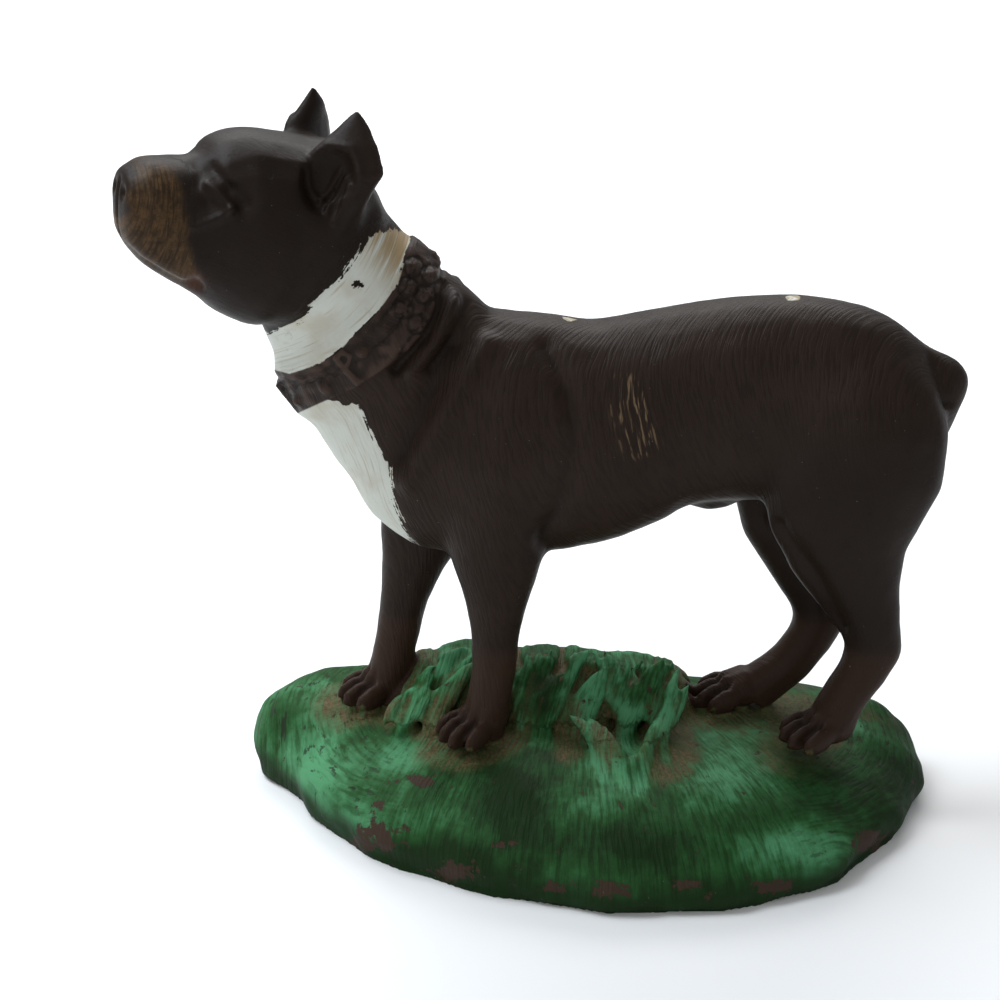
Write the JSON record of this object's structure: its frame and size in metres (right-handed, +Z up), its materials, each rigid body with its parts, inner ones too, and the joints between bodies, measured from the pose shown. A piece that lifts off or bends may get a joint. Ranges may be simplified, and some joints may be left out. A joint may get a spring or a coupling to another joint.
{
  "type": "dog statue",
  "caption": "Standing short-coated dog with cropped ears and a wide studded collar, its head turned and raised, cast together with a grass mound that has a flat underside.",
  "frame": {"origin": "under the middle of the part's box, on the plane that the flat underside stands on", "axes": "+X from the dog's breast towards its rump, +Y from the dog's left side to its right side, +Z up"},
  "size_m": [0.2532, 0.1154, 0.2319],
  "materials": {
    "painted_cast_iron": "old worn paint: near-black brown coat, white neck band and chest, green grass"
  },
  "bodies": {
    "root": {"dog_on_grass_mound": "painted_cast_iron"}
  },
  "joints": []
}
